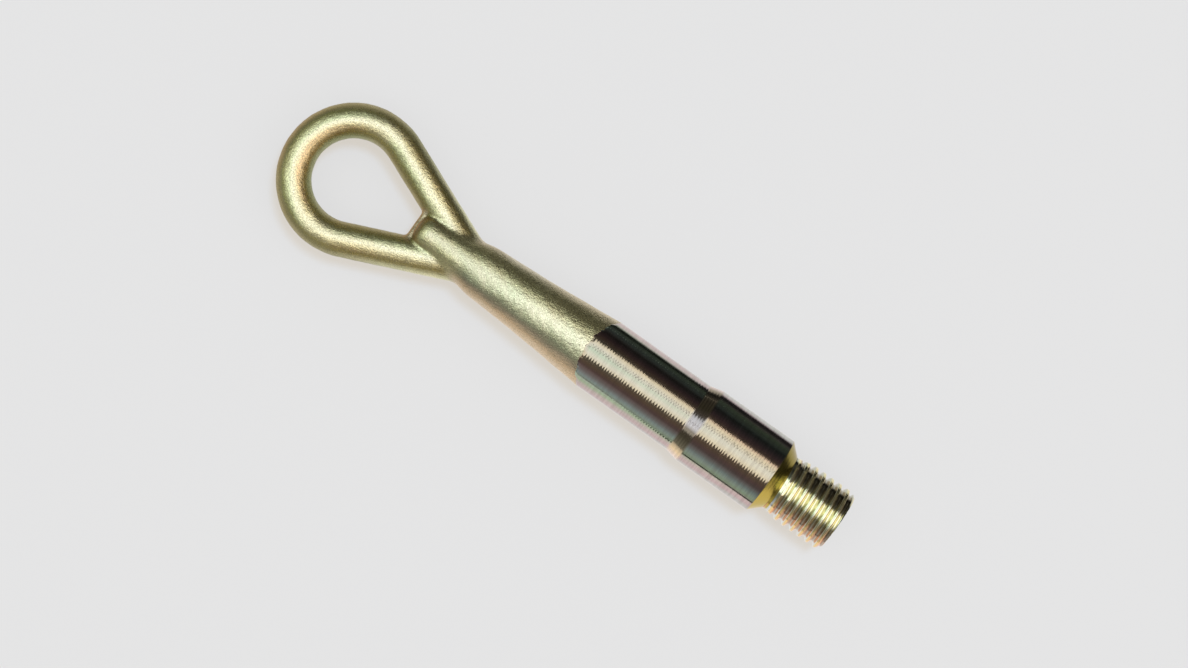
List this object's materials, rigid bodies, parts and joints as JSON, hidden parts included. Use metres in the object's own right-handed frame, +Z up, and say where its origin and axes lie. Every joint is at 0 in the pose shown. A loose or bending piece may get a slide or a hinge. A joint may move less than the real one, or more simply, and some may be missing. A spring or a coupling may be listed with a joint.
{
  "type": "tow eye",
  "caption": "Screw-in tow eye: a round closed eye and tapering forged shank with a turned barrel, collar, conical shoulder and threaded stud.",
  "frame": {"origin": "on the stud's axis, where the full diameter of the stud starts behind the shoulder", "axes": "+X along the stud towards its tip, +Y across the eye, +Z up, square to the plane of the eye"},
  "size_m": [0.1763, 0.041, 0.022],
  "materials": {
    "plated_steel": "yellow chromated zinc plate, satin and grainy where forged, bright where turned"
  },
  "bodies": {
    "root": {"tow_eye": "plated_steel"}
  },
  "joints": []
}
